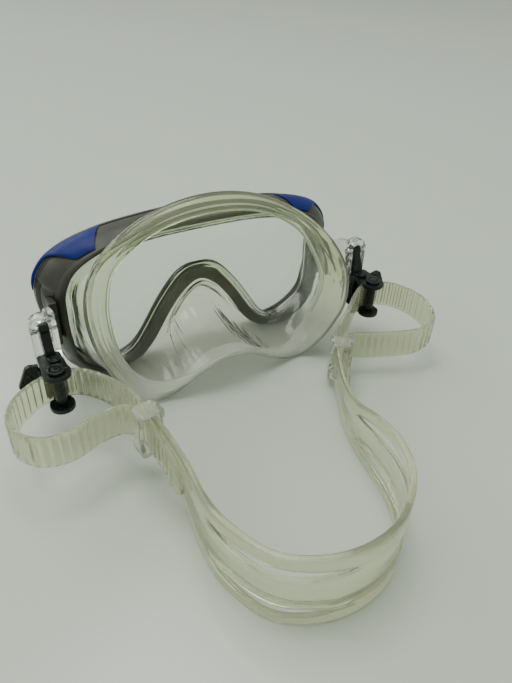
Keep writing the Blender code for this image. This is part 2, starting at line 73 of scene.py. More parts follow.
# Skirt stations as (x, y, z): the bend of its wall, its outer edge and its inner sealing lip.
SKIRT_BEND = [
    (0, 25, 76), (25, 25, 75.5), (46, 26, 71), (58, 27, 64), (64, 30, 56), (65, 32, 47),
    (62, 32, 32), (57, 32, 19), (52, 30, 9), (45, 28, 4), (34, 28, 3), (19, 17, 5),
    (14, -10, 10), (11, -27, 14), (0, -31, 15),
]
SKIRT_EDGE = [
    (0, 20, 92.5), (20, 20, 90), (38, 20.5, 83.5), (56, 25, 72.5), (66, 36, 61), (68.5, 48, 48.5),
    (64.5, 55, 34), (57, 54.5, 20), (50.5, 50, 7.5), (44, 46, 1.6), (36, 46, 1.8), (27, 46, 5),
    (18, 46, 10), (9, 46, 14), (0, 46, 15),
]
SKIRT_LIP = [
    (0, 24.5, 84.5), (20, 24.5, 82.5), (36, 24.5, 76.5), (50, 27, 66.5), (56, 33, 54.5), (57.5, 39, 44),
    (55.5, 39.5, 32), (51.5, 38.5, 21), (46, 38, 12.5), (40, 41, 9.5), (33, 44, 9.5), (25, 47, 12),
    (17, 49, 16), (8.5, 51, 20), (0, 51, 21),
]
STEPS = 9  # rim points for each gap between two stations

BEZEL_BACK, LENS_FRONT, LENS_THICKNESS, LENS_SHARE = 2.6, 2.9, 3.2, 0.5
FLANGE_MIDDLE, SHOULDER, LENS_POCKET = 7.7, 9.4, 0.57
SKIRT_WALL = 2.0
LIP_ROWS = 13  # rings of the skirt's hazy outer edge and lip
RECESS_START, RECESS_END = 4.1, 7.1  # stations between which the frame's side is recessed
ACCENT_FIRST, ACCENT_LAST = 16, 42  # rim points where a coloured cover starts and ends
ACCENT_REAR, ACCENT_NARROWING = 16.6, 11.0  # depth of its rear edge, and how far that comes forward

PIN_Y, PIN_Z, PIN_R = 32.5, 50.0, 1.3
ARM_LOW, ARM_HIGH = 83.2, 87.4
LOOP_INNER_X, LOOP_OUTER_X, LOOP_WALL = 79.6, 91.0, 2.8
LOOP_BOTTOM, LOOP_TOP, LOOP_FRONT, LOOP_BACK = 26.0, 57.0, 30.0, 35.0
SPINE_FRONT, SPINE_BACK, SPINE_LOW_X, SPINE_HIGH_X = 35.3, 39.8, 81.6, 86.4
ROLLER_X, ROLLER_Y, ROLLER_R, ROLLER_BORE = 86.0, 50.0, 2.5, 1.4
PAWL_X, PAWL_Y, PAWL_EYE_R = 84.7, 42.3, 1.9
PLATE_TOP, PLATE_UNDER, FLANGE_TOP, FLANGE_UNDER = 38.4, 36.4, 20.8, 18.4
POST_R, PAWL_PIN_R = 1.1, 0.9
POST_HEAD_R, PAWL_PIN_HEAD_R = 3.9, 2.6
CLEARANCE = 0.3

# Centre line of the strap as (x, y, z, half height), from the left tail to the right tail.
STRAP_PATH = [
    (59.4, 118, 17.5, 7.8), (59.8, 104, 21.6, 8), (60.8, 95, 24.5, 8), (62.1, 87.5, 26, 8),
    (63.7, 82, 26, 8), (68.5, 78.4, 26, 8), (78, 79.3, 26, 8), (90, 83.5, 26, 8),
    (101, 83.5, 27, 8), (108.6, 77, 27.8, 8), (110, 67, 28.3, 8), (106, 57.5, 28.6, 7.8),
    (98, 50.5, 28.6, 7.5), (90, 46.6, 28.6, 7.3), (86, 46, 28.6, 7.3), (81, 46.6, 28.6, 7.3),
    (74.5, 50.5, 28.6, 7.5), (68, 59, 28.4, 7.8), (62.3, 70, 27.8, 8), (59.4, 80, 26.4, 8),
    (58.2, 88, 25.4, 8), (56.8, 98, 24.3, 8.1), (56, 116, 17, 14), (58.3, 135, 16.8, 16.5),
    (57.5, 152, 18.1, 18), (50, 170, 18.6, 18.5), (35, 179.5, 18.6, 18.5), (18, 181.7, 18.6, 18.5),
    (2, 177, 18.6, 18.5), (-12, 165, 18.6, 18.5), (-20, 149, 18.1, 18), (-24, 132, 16.1, 16),
    (-28, 114, 12.8, 12), (-34, 98, 12.6, 9.2), (-41, 84, 13.8, 8), (-48, 71.5, 15.6, 8),
    (-51.6, 65.8, 17.2, 8), (-57, 61.5, 19.6, 8), (-65, 57.3, 23.2, 7.9), (-73.5, 51.3, 27, 7.5),
    (-80.5, 46.9, 28.5, 7.3), (-86, 46, 28.6, 7.3), (-91, 47, 28.5, 7.3), (-100, 52, 27.6, 7.5),
    (-107.5, 61, 25, 7.8), (-110, 71, 22, 8), (-105.5, 80, 19.5, 8), (-95, 83, 17.5, 8),
    (-84, 79.5, 16.3, 8), (-71, 73.6, 15.8, 8), (-62.5, 69.8, 16, 8), (-56.8, 69.8, 16.2, 8),
    (-53.2, 73, 15.8, 8), (-49.2, 78.6, 15, 8), (-44.6, 86, 13.8, 8), (-38.4, 96, 12.4, 7.8),
]
PATH_STEPS = 24  # curve points for each gap between two path points
STRAP_MIDDLE = 27.5  # path point where the two halves of the visible strap meet
RIB_ENDS = (19.0, 35.5)  # path points where the ribbed ends stop
PAD_START, PAD_END = (21.6, 23.0), (32.0, 33.2)  # path points over which the pad begins and ends
PANEL_ENDS = (22.0, 33.0)  # path points between which the pad's middle band is clearer
RIB_PITCH = 3.5
TIP_RADIUS = 9.0  # length of strap over which its tip narrows
HALF_THICK, RIBLESS_HALF_THICK = 1.3, 0.55  # at a rib, and between two ribs on their side
LOW_SLOT, HIGH_SLOT = -0.62, 0.5  # heights of the slots behind the head, as shares of half height
SLOT_LEVELS = (LOW_SLOT, HIGH_SLOT)
# Each slot: its first and last path point, and its level.
STRAP_SLOTS = [
    (23.2, 26.6, HIGH_SLOT), (23.5, 26.2, LOW_SLOT), (28.4, 31.8, HIGH_SLOT), (28.8, 31.5, LOW_SLOT),
]
SLOT_HALF_HEIGHT, SLIT = 2.4, 0.15  # at a slot's middle, and where it starts
# Rows of the strap's cross-section: the last row under each slot, and those of the band between them.
SLOT_ROWS = {5: LOW_SLOT, 16: HIGH_SLOT}
PANEL_ROWS = range(9, 14)

KEEPERS = {"left": (20, 3), "right": (35, 53)}  # path points of the strap and of its tail
KEEPER_LONG, KEEPER_THICK, KEEPER_TALL, KEEPER_WALL = 8.5, 11.4, 22.4, 1.5


# ---- geometry helpers ----

def metre(point):
    """A point of the mask, in millimetres, as a point of the frame, in metres."""
    return Vector((point[0], point[1] + FRONT, point[2])) * MM


def smooth(points, steps, closed):
    """Catmull-Rom curve through the points, as an array."""
    points = np.array(points, float)
    count = len(points)
    curve = []
    for i in range(count if closed else count - 1):
        b, c = points[i], points[(i + 1) % count]
        a = points[i - 1] if closed or i else 2 * b - c
        d = points[(i + 2) % count] if closed or i + 2 < count else 2 * c - b
        slope, bend, twist = c - a, 2 * a - 5 * b + 4 * c - d, 3 * b - a - 3 * c + d
        for t in np.arange(steps) / steps:
            curve.append(0.5 * (2 * b + slope * t + bend * t**2 + twist * t**3))
    return np.array(curve if closed else curve + [points[-1]])


def ring_of(half):
    """A smooth closed ring from one half's stations: its left half, then the mirrored right half."""
    left = [tuple(p) for p in half]
    return smooth(left + [(-p[0], *p[1:]) for p in left[-2:0:-1]], STEPS, True)


def ring_of_values(half):
    """A smooth ring of single values from one half's stations."""
    return ring_of([(0, value) for value in half])[:, 1]


def ramp(value, low, high):
    """0 below low, 1 above high and smooth between them."""
    t = min(1.0, max(0.0, (value - low) / (high - low)))
    return t * t * (3 - 2 * t)


def mesh_of(name, points, faces):
    mesh = bpy.data.meshes.new(name)
    mesh.from_pydata([metre(p) for p in points], [], faces)
    tidy = bmesh.new()
    tidy.from_mesh(mesh)
    bmesh.ops.recalc_face_normals(tidy, faces=tidy.faces)
    tidy.to_mesh(mesh)
    tidy.free()
    return mesh


def loft(name, rings, along=False, caps=True):
    """Skins closed rings of equal length; along joins the last ring to the first."""
    size = len(rings[0])
    points = [p for ring in rings for p in ring]
    faces = []
    for i in range(len(rings) if along else len(rings) - 1):
        first, second = i * size, (i + 1) % len(rings) * size
        for j in range(size):
            k = (j + 1) % size
            faces.append((first + j, first + k, second + k, second + j))
    if caps and not along:
        faces.append(tuple(range(size)))
        faces.append(tuple(range(len(points) - size, len(points))))
    return mesh_of(name, points, faces)


def turned(name, centre, axis, profile, sides=48):
    """A solid of revolution from (radius, height) points, around an axis along X or Z."""
    rings = []
    for radius, height in profile:
        ring = []
        for j in range(sides):
            turn = 2 * math.pi * j / sides
            a, b = radius * math.cos(turn), radius * math.sin(turn)
            if axis == "Z":
                ring.append((centre[0] + a, centre[1] + b, height))
            else:
                ring.append((height, centre[1] + a, centre[2] + b))
        rings.append(ring)
    return loft(name, rings)


def prism(name, outline, plane, low, high):
    """An outline drawn in plane XY, XZ or YZ, and thickened along the third axis."""
    slots = ["XYZ".index(letter) for letter in plane]
    third = 3 - sum(slots)
    rings = []
    for level in (low, high):
        ring = []
        for a, b in outline:
            point = [0.0, 0.0, 0.0]
            point[slots[0]], point[slots[1]], point[third] = a, b, level
            ring.append(point)
        rings.append(ring)
    return loft(name, rings)


def box(name, low, high):
    corners = [(low[0], low[2]), (high[0], low[2]), (high[0], high[2]), (low[0], high[2])]
    return prism(name, corners, "XZ", low[1], high[1])


def arc(centre, radius, start, end, steps=12):
    angles = np.radians(np.linspace(start, end, steps + 1))
    return [(centre[0] + radius * math.cos(t), centre[1] + radius * math.sin(t)) for t in angles]


def round_box(low, high, radius, steps=8):
    """Outline of a rectangle with rounded corners."""
    (x0, z0), (x1, z1) = low, high
    return (
        arc((x1 - radius, z0 + radius), radius, -90, 0, steps)
        + arc((x1 - radius, z1 - radius), radius, 0, 90, steps)
        + arc((x0 + radius, z1 - radius), radius, 90, 180, steps)
        + arc((x0 + radius, z0 + radius), radius, 180, 270, steps)
    )


def pin_bore(name, centre, axis, radius, low, high):
    """A cutter that lets a pin of this radius through the stretch from low to high."""
    wide = radius + CLEARANCE
    return turned(name, centre, axis, [(wide, low - 2), (wide, high + 2)])


def mirrored(mesh, sign):
    """The same mesh for the other side of the head when sign is -1."""
    if sign < 0:
        mesh.transform(Matrix.Diagonal((-1, 1, 1, 1)))
        mesh.flip_normals()
    return mesh


def piece(name, mesh, body, node, slot, *materials):
    """A visible piece that rides on a body and stands for a CAD node."""
    mesh.shade_smooth()
    mesh.set_sharp_from_angle(angle=math.radians(38))
    mesh.materials.clear()
    for material in materials:
        mesh.materials.append(material)
    obj = bpy.data.objects.new(name, mesh)
    bpy.context.scene.collection.objects.link(obj)
    if body:
        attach(obj, body)
    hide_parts(node)
    return obj


def moulded(name, base, joins=(), cuts=(), voxel=0.32, rounds=5):
    """One solid from overlapping shapes, with its edges rounded the way a moulding's are."""
    obj = bpy.data.objects.new(name, base)
    bpy.context.scene.collection.objects.link(obj)
    tools = []
    for operation, meshes in (("UNION", joins), ("DIFFERENCE", cuts)):
        for mesh in meshes:
            tool = bpy.data.objects.new(mesh.name, mesh)
            bpy.context.scene.collection.objects.link(tool)
            modifier = obj.modifiers.new(mesh.name, "BOOLEAN")
            modifier.operation, modifier.object = operation, tool
            tools.append(tool)
    remesh = obj.modifiers.new("grid", "REMESH")
    remesh.mode, remesh.voxel_size = "VOXEL", voxel * MM
    rounding = obj.modifiers.new("round", "SMOOTH")
    rounding.factor, rounding.iterations = 0.5, rounds
    graph = bpy.context.evaluated_depsgraph_get()
    mesh = bpy.data.meshes.new_from_object(obj.evaluated_get(graph))
    for made in [obj, *tools]:
        bpy.data.objects.remove(made)
    return mesh


# ---- materials ----

class Shade:
    """A Principled material whose colour, roughness and relief come from small chains of nodes."""

    def __init__(self, name, colour, roughness, **sockets):
        self.material = bpy.data.materials.new(name)
        self.material.use_nodes = True
        self.tree = self.material.node_tree
        self.shader = self.tree.nodes["Principled BSDF"]
        self.put("Base Color", (*colour, 1))
        self.put("Roughness", roughness)
        for socket, value in sockets.items():
            self.put(socket.replace("_", " "), value)
        self.place = self.node("ShaderNodeTexCoord").outputs["Object"]

    def put(self, socket, value):
        self.shader.inputs[socket].default_value = value

    def node(self, kind, **inputs):
        made = self.tree.nodes.new(kind)
        for socket, value in inputs.items():
            made.inputs[socket.replace("_", " ")].default_value = value
        return made

    def link(self, source, target):
        self.tree.links.new(source, target)

    def noise(self, scale, detail=3.0, stretch=None):
        made = self.node("ShaderNodeTexNoise", Scale=scale, Detail=detail)
        if stretch:
            mapping = self.node("ShaderNodeMapping", Scale=stretch)
            self.link(self.place, mapping.inputs["Vector"])
            self.link(mapping.outputs["Vector"], made.inputs["Vector"])
        else:
            self.link(self.place, made.inputs["Vector"])
        return made.outputs["Fac"]

    def level(self, low, high):
        """0 at a low height of the piece and 1 at a high one, in metres."""
        axes = self.node("ShaderNodeSeparateXYZ")
        self.link(self.place, axes.inputs["Vector"])
        scale = self.node("ShaderNodeMapRange", From_Min=low, From_Max=high)
        self.link(axes.outputs["Z"], scale.inputs["Value"])
        return scale.outputs["Result"]

    def colours(self, source, first, second, low=0.35, high=0.65):
        """Base colour that runs from first to second as source goes from low to high."""
        band = self.node("ShaderNodeValToRGB")
        for stop, position, colour in zip(band.color_ramp.elements, (low, high), (first, second)):
            stop.position, stop.color = position, (*colour, 1)
        self.link(source, band.inputs["Fac"])
        self.link(band.outputs["Color"], self.shader.inputs["Base Color"])

    def range(self, source, socket, low, high):
        """Drives a socket from low to high by the middle of a texture's range."""
        scale = self.node("ShaderNodeMapRange", From_Min=0.3, From_Max=0.7, To_Min=low, To_Max=high)
        self.link(source, scale.inputs["Value"])
        self.link(scale.outputs["Result"], self.shader.inputs[socket])

    def relief(self, *layers):
        """Bump layers as (source, height in metres)."""
        normal = None
        for source, height in layers:
            bump = self.node("ShaderNodeBump", Distance=height, Strength=1.0)
            self.link(source, bump.inputs["Height"])
            if normal:
                self.link(normal, bump.inputs["Normal"])
            normal = bump.outputs["Normal"]
        self.link(normal, self.shader.inputs["Normal"])


def grey_moulding():
    shade = Shade("frame_grey_moulding", (0.06, 0.055, 0.046), 0.42, Specular_IOR_Level=0.45)
    cloud = shade.noise(55.0)
    shade.colours(cloud, (0.042, 0.041, 0.034), (0.064, 0.062, 0.052))
    shade.range(shade.noise(140.0, 4.0), "Roughness", 0.34, 0.5)
    shade.relief((shade.noise(2600.0, 2.0), 0.00002))
    return shade.material


def dark_gloss():
    shade = Shade("frame_recess_gloss", (0.012, 0.013, 0.013), 0.16, Specular_IOR_Level=0.6)
    shade.colours(shade.noise(90.0), (0.009, 0.01, 0.01), (0.02, 0.02, 0.018))
    shade.range(shade.noise(220.0, 4.0), "Roughness", 0.12, 0.26)
    return shade.material


def blue_moulding():
    shade = Shade("accent_blue_moulding", (0.004, 0.014, 0.2), 0.4, Specular_IOR_Level=0.25)
    shade.colours(shade.noise(70.0), (0.003, 0.011, 0.14), (0.006, 0.019, 0.2))
    shade.range(shade.noise(180.0, 4.0), "Roughness", 0.36, 0.52)
    shade.relief((shade.noise(2400.0, 2.0), 0.000015))
    return shade.material


def black_moulding():
    shade = Shade("buckle_black_moulding", (0.006, 0.009, 0.009), 0.3, Specular_IOR_Level=0.35)
    shade.colours(shade.noise(120.0), (0.004, 0.007, 0.007), (0.01, 0.014, 0.014))
    shade.range(shade.noise(300.0, 4.0), "Roughness", 0.22, 0.38)
    shade.relief((shade.noise(3000.0, 2.0), 0.000015))
    return shade.material


def steel_pin():
    shade = Shade("pin_drawn_steel", (0.6, 0.6, 0.58), 0.25, Metallic=1.0)
    drawn = shade.noise(900.0, 3.0, (0.05, 1, 1))
    shade.colours(drawn, (0.5, 0.5, 0.48), (0.68, 0.68, 0.66))
    shade.range(drawn, "Roughness", 0.18, 0.35)
    return shade.material


def tempered_glass():
    shade = Shade("lens_tempered_glass", (0.95, 0.985, 0.965), 0.0, Transmission_Weight=1.0, IOR=1.5)
    shade.range(shade.noise(30.0, 5.0), "Roughness", 0.0, 0.012)
    return shade.material


def clear_silicone(name, clarity, hazier):
    """Skirt: yellow-green above, whiter (painted light) and hazier towards the chin, with slightly uneven
    faces.
    """
    shade = Shade(name, (0.93, 0.945, 0.82), 0.05, Transmission_Weight=clarity, IOR=1.41)
    height = shade.level(0.012, 0.055)
    blend = shade.node("ShaderNodeMix", Factor=0.25)
    shade.link(height, blend.inputs["A"])
    shade.link(shade.noise(28.0, 4.0), blend.inputs["B"])
    # Painted light: the base colour whitens towards the chin for the brighter light there; the noise mixed
    # in is the silicone's own uneven tone.
    shade.colours(blend.outputs["Result"], (0.965, 0.97, 0.91), (0.88, 0.91, 0.74), 0.15, 0.85)
    haze = shade.node("ShaderNodeMapRange", To_Min=clarity - hazier, To_Max=clarity)
    shade.link(height, haze.inputs["Value"])
    shade.link(haze.outputs["Result"], shade.shader.inputs["Transmission Weight"])
    shade.range(shade.noise(45.0, 4.0), "Roughness", 0.02, 0.08)
    shade.relief((shade.noise(130.0, 2.0), 0.0002), (shade.noise(1500.0, 2.0), 0.00001))
    return shade.material


def clear_plastic(name, tint, roughness, clarity):
    """Brackets and keepers: clear, with faces that are not quite flat."""
    shade = Shade(name, tint, roughness, Transmission_Weight=clarity, IOR=1.57)
    shade.colours(shade.noise(60.0), tint, tuple(min(1.0, c + 0.03) for c in tint))
    shade.range(shade.noise(150.0, 4.0), "Roughness", roughness * 0.5, roughness * 1.8)
    shade.relief((shade.noise(260.0, 2.0), 0.0001))
    return shade.material


def milky_silicone(name, alpha=1.0, clarity=0.84):
    """Strap: translucent, more yellow than the skirt, with a soft satin face."""
    shade = Shade(name, (0.92, 0.93, 0.79), 0.16, Transmission_Weight=clarity, IOR=1.41, Alpha=alpha)
    shade.colours(shade.noise(24.0, 4.0), (0.82, 0.845, 0.62), (0.885, 0.9, 0.72))
    shade.range(shade.noise(90.0, 4.0), "Roughness", 0.1, 0.2)
    shade.relief((shade.noise(160.0, 2.0), 0.00004))
    return shade.material


# ---- mask body ----

def rim_point(i, share, depth):
    """Point i of the rim at a depth; share is 0 at the lens opening and 1 at the frame's edge."""
    inner, outer = OPENING_RING[i], EDGE_RING[i]
    x, z = inner + (outer - inner) * share
    return (x, depth, z)


def rim(share, depth):
    return [rim_point(i, share, depth) for i in range(len(EDGE_RING))]


def station_of(i):
    """Station number of rim point i, counted from the top centre on either side."""
    place = i / STEPS
    return min(place, 2 * (len(FRAME_EDGE) - 1) - place)


def frame_share(i, depth):
    """How far out the frame's outer face lies: it tapers to its rear edge, and a little to its front."""
    rear = DEPTH_RING[i]
    back_from, front_to = 8.0, 6.0
    sides = (rear - min(FRAME_DEPTH)) / (max(FRAME_DEPTH) - min(FRAME_DEPTH))
    back = max(0.0, (depth - back_from) / (rear - back_from))
    front = max(0.0, (front_to - depth) / front_to)
    return 1.0 - 0.8 * max(0.0, sides) * back**1.6 - 0.12 * front**2


def in_recess(i, depth):
    """1 inside the glossy recess on the frame's side, 0 outside it."""
    place, rear = station_of(i), DEPTH_RING[i]
    along = ramp(place, RECESS_START, RECESS_START + 0.2) * (1 - ramp(place, RECESS_END - 0.2, RECESS_END))
    return along * ramp(depth, 5.2, 6.0) * (1 - ramp(depth, rear - 3.4, rear - 2.6))


def make_frame(grey, gloss):
    """Frame body with a stepped outer face and a glossy recess, and a pad under each bracket."""
    depths = [
        0.0, 0.02, 0.05, 0.16, 0.22, 0.28, 0.31, 0.34, 0.38, 0.5, 0.62, 0.72, 0.8, 0.84, 0.88, 0.92, 0.97,
        1.0,
    ]
    rings = []
    for fraction in depths:
        ring = []
        for i, rear in enumerate(DEPTH_RING):
            depth = LENS_FRONT + (rear - LENS_FRONT) * fraction
            step = 0.05 * ramp(fraction, 0.28, 0.31) * (1 - ramp(fraction, 0.88, 0.92))
            edge = 0.05 * (1 - ramp(fraction, 0, 0.05)) + 0.07 * ramp(fraction, 0.96, 1.0)
            share = frame_share(i, depth) - step - edge - 0.14 * in_recess(i, depth)
            ring.append(rim_point(i, share, depth))
        rings.append(ring)
    outside = len(rings)
    for share, short in ((0.09, 0.0), (0.02, 0.7)):
        rings.append([rim_point(i, share, rear - short) for i, rear in enumerate(DEPTH_RING)])
    rings += [rim(0.02, SHOULDER + 0.3), rim(0.06, SHOULDER)]
    rings += [rim(LENS_POCKET, SHOULDER), rim(LENS_POCKET, LENS_FRONT)]
    mesh = loft("frame", rings, along=True)
    shell = piece("frame_shell", mesh, "mask", "frame_main", "frame_grey", grey, gloss)
    for face in shell.data.polygons:
        row, i = divmod(face.vertices[0], len(DEPTH_RING))
        if row < outside:
            depth = LENS_FRONT + (DEPTH_RING[i] - LENS_FRONT) * depths[row]
            face.material_index = int(in_recess(i, depth) > 0.6)
    for side, sign in SIDES:
        pad = moulded("pad", mirrored(box("pad", (75.6, 10.5, 30), (79.3, 19.6, 53)), sign), rounds=8)
        piece(f"bracket_pad_{side}", pad, "mask", "frame_main", "frame_grey", grey)


def make_bezel(grey):
    """Front ring, from its outer edge across the grooved face to its inner edge."""
    profile = [
        (0.97, BEZEL_BACK), (0.98, 2.2), (0.98, 1.6), (0.965, 1.05), (0.935, 0.6), (0.885, 0.25),
        (0.82, 0.05), (0.75, 0), (0.64, 0), (0.62, 0.25), (0.57, 0.25), (0.55, 0), (0.3, 0), (0.2, 0.08),
        (0.11, 0.3), (0.04, 0.75), (0.0, 1.4), (0.0, 2.2), (0.015, BEZEL_BACK),
    ]
    mesh = loft("bezel", [rim(share, depth) for share, depth in profile], along=True)
    piece("bezel_ring", mesh, "mask", "frame_bezel", "frame_grey", grey)


def make_lens(glass):
    """Flat pane with a small bevel on both edges."""
    back = LENS_FRONT + LENS_THICKNESS
    rings = [
        rim(LENS_SHARE - 0.05, LENS_FRONT), rim(LENS_SHARE, LENS_FRONT + 0.35),
        rim(LENS_SHARE, back - 0.35), rim(LENS_SHARE - 0.05, back),
    ]
    piece("lens_pane", loft("lens", rings), "mask", "lens", "lens_glass", glass)


def make_accent(side, sign, blue):
    """Coloured cover on an upper corner of the frame, which drops to a thin strip down the side."""
    front = LENS_FRONT + CLEARANCE
    under, over, crown = 0.05, 0.055, 0.115  # heights over the frame's face, as shares of the rim's width
    rings = []
    for i in range(ACCENT_FIRST, ACCENT_LAST + 1):
        rear = ACCENT_REAR - ACCENT_NARROWING * ramp(i / STEPS, 2.6, 3.4)
        ends = math.sqrt(max(0.0, min(1.0, (i - ACCENT_FIRST + 0.4) / 3, (ACCENT_LAST - i + 0.4) / 6)))
        slant = 3.5 * (1 - ramp(i, ACCENT_FIRST, ACCENT_FIRST + 10))
        outline = [(u, under) for u in np.linspace(0, 1, 9)]
        for u in np.linspace(1, 0, 13):
            outline.append((u, over + crown * ends * max(0.08, (1 - abs(2 * u - 1) ** 6) ** 0.5)))
        ring = []
        for u, rise in outline:
            place, y = i + slant * u, front + (rear - front) * u
            low, high = int(place), int(place) + 1
            here, after = (np.array(rim_point(k, frame_share(k, y) + rise, y)) for k in (low, high))
            x, y, z = here * (high - place) + after * (place - low)
            ring.append((sign * x, y, z))
        rings.append(ring)
    piece(f"accent_cover_{side}", loft("accent", rings), "mask", f"accent_{side}", "accent_blue", blue)


def skirt_rings():
    """Rings of the skirt's middle surface, each with its wall thickness as a share of SKIRT_WALL."""
    nose = ring_of_values(NOSE_SHARE)
    bend, edge, lip = ring_of(SKIRT_BEND), ring_of(SKIRT_EDGE), ring_of(SKIRT_LIP)
    count = len(nose)
    neck = np.array([rim_point(i, -0.32 + 1.66 * nose[i], 15.0 - 1.4 * nose[i]) for i in range(count)])
    rings = [
        (np.array(rim(0.45, FLANGE_MIDDLE)), 1.0), (np.array(rim(0.2, FLANGE_MIDDLE)), 1.0),
        (np.array(rim(-0.1, FLANGE_MIDDLE)), 1.0), (np.array(rim(-0.24, 8.1)), 1.0),
        (np.array([rim_point(i, -0.3 - 0.25 * nose[i], 9.0) for i in range(count)]), 1.0),
        (np.array([rim_point(i, -0.32 - 0.2 * nose[i], 12.6) for i in range(count)]), 0.95),
        (neck, 0.9),
    ]
    outward = edge - edge.mean(axis=0)
    outward[:, 1] = 0
    outward /= np.linalg.norm(outward, axis=1)[:, None]
    places = np.array([station_of(i) for i in range(count)])
    on_side = np.array([ramp(p, 2.5, 4.0) * (1 - ramp(p, 8.0, 9.5)) for p in places])
    on_nose = np.array([ramp(p, 9.6, 10.6) * (1 - 0.85 * ramp(p, 12.2, 13.2)) for p in places])
    fold_height, pleat_height, lip_bulge = 1.5, 1.1, 4.4
    # Side walls, nose pocket and edge bead: v is 0 at the neck and 1 at the skirt's outer edge.
    for v in (0.05, 0.1, 0.16, 0.22, 0.28, 0.34, 0.4, 0.47, 0.54, 0.61, 0.68, 0.75, 0.82, 0.88, 0.94, 1.0):
        ring = neck * (1 - v) ** 2 + 2 * bend * v * (1 - v) + edge * v * v
        fold = fold_height * math.sin(2.5 * math.pi * v) * math.sin(math.pi * v) ** 0.5
        pleats = pleat_height * np.sin(places * 13.0 + 1.2 * np.sin(places * 4.0)) * math.sin(math.pi * v)
        ring = ring + outward * (fold * on_side + pleats * on_nose)[:, None]
        rings.append((ring, 0.85 - 0.25 * v + 0.4 * ramp(v, 0.86, 1.0)))
    # Inner sealing lip: v is 0 at the outer edge and 1 at the lip's own edge.
    lip_walls = [
        (0.1, 1.0), (0.2, 0.62), (0.34, 0.55), (0.46, 0.6), (0.52, 0.95), (0.58, 0.6), (0.7, 0.42),
        (0.85, 0.36), (0.91, 0.4), (0.955, 1.1), (1.0, 1.0),
    ]
    for v, share in lip_walls:
        bulge = np.array((0, lip_bulge * 2 * v * (1 - v), 0))
        rings.append((edge * (1 - v) + lip * v + bulge, share))
    return rings


def make_skirt(clear, hazy):
    """Silicone skirt as one skin with the wall thickness of each ring, hazier at its edge and lip."""
    rings = skirt_rings()
    mesh = loft("skirt", [ring for ring, _ in rings], caps=False)
    skirt = piece("face_skirt", mesh, "mask", "skirt", "skirt_silicone", clear, hazy)
    walls = skirt.vertex_groups.new(name="wall")
    size = len(rings[0][0])
    for row, (_, share) in enumerate(rings):
        walls.add(list(range(row * size, (row + 1) * size)), share, "REPLACE")
    for face in skirt.data.polygons:
        face.material_index = int(min(face.vertices) // size >= len(rings) - LIP_ROWS)
    shell = skirt.modifiers.new("wall", "SOLIDIFY")
    shell.thickness, shell.offset, shell.vertex_group = SKIRT_WALL * MM, 0.0, "wall"
    rounding = skirt.modifiers.new("round", "SUBSURF")
    rounding.levels = rounding.render_levels = 1


# ---- strap buckles ----

def make_bracket(side, sign, clear, steel):
    """Clear bracket on the side of the frame, and the pin across its loop."""
    outer = round_box((LOOP_INNER_X, LOOP_BOTTOM), (LOOP_OUTER_X, LOOP_TOP), 5.0)
    inner = round_box(
        (LOOP_INNER_X + LOOP_WALL, LOOP_BOTTOM + 3.5), (LOOP_OUTER_X - LOOP_WALL, LOOP_TOP - 3.0), 2.2
    )
    rings = [
        [(x, LOOP_FRONT, z) for x, z in outer], [(x, LOOP_BACK, z) for x, z in outer],
        [(x, LOOP_BACK, z) for x, z in inner], [(x, LOOP_FRONT, z) for x, z in inner],
    ]
    side_view = [
        (15.2, 31.0), (33.0, 31.0), (33.0, 56.6), (29.0, 56.0), (24.0, 54.4), (19.0, 51.4), (15.2, 47.6),
    ]
    rail = prism("rail", side_view, "YZ", LOOP_INNER_X, LOOP_INNER_X + LOOP_WALL - 0.2)
    rib = box("rib", (LOOP_INNER_X + 1.0, 17.0, 40.6), (LOOP_INNER_X + 4.0, 31.0, 42.4))
    bore = pin_bore("bore", (0, PIN_Y, PIN_Z), "X", PIN_R, LOOP_INNER_X, LOOP_OUTER_X)
    loop = loft("loop", rings, along=True)
    loop, rail, rib, bore = (mirrored(mesh, sign) for mesh in (loop, rail, rib, bore))
    mesh = moulded("bracket", loop, [rail, rib], [bore], rounds=6)
    piece(f"clear_bracket_{side}", mesh, "mask", f"mount_{side}", "clear_plastic", clear)
    low, high, bevel = LOOP_INNER_X + 0.4, LOOP_OUTER_X - 0.4, 0.3
    profile = [(PIN_R - bevel, low), (PIN_R, low + bevel), (PIN_R, high - bevel), (PIN_R - bevel, high)]
    pin = mirrored(turned("pin", (0, PIN_Y, PIN_Z), "X", profile, 32), sign)
    piece(f"swivel_pin_{side}", pin, "mask", f"mount_pin_{side}", "pin_steel", steel)


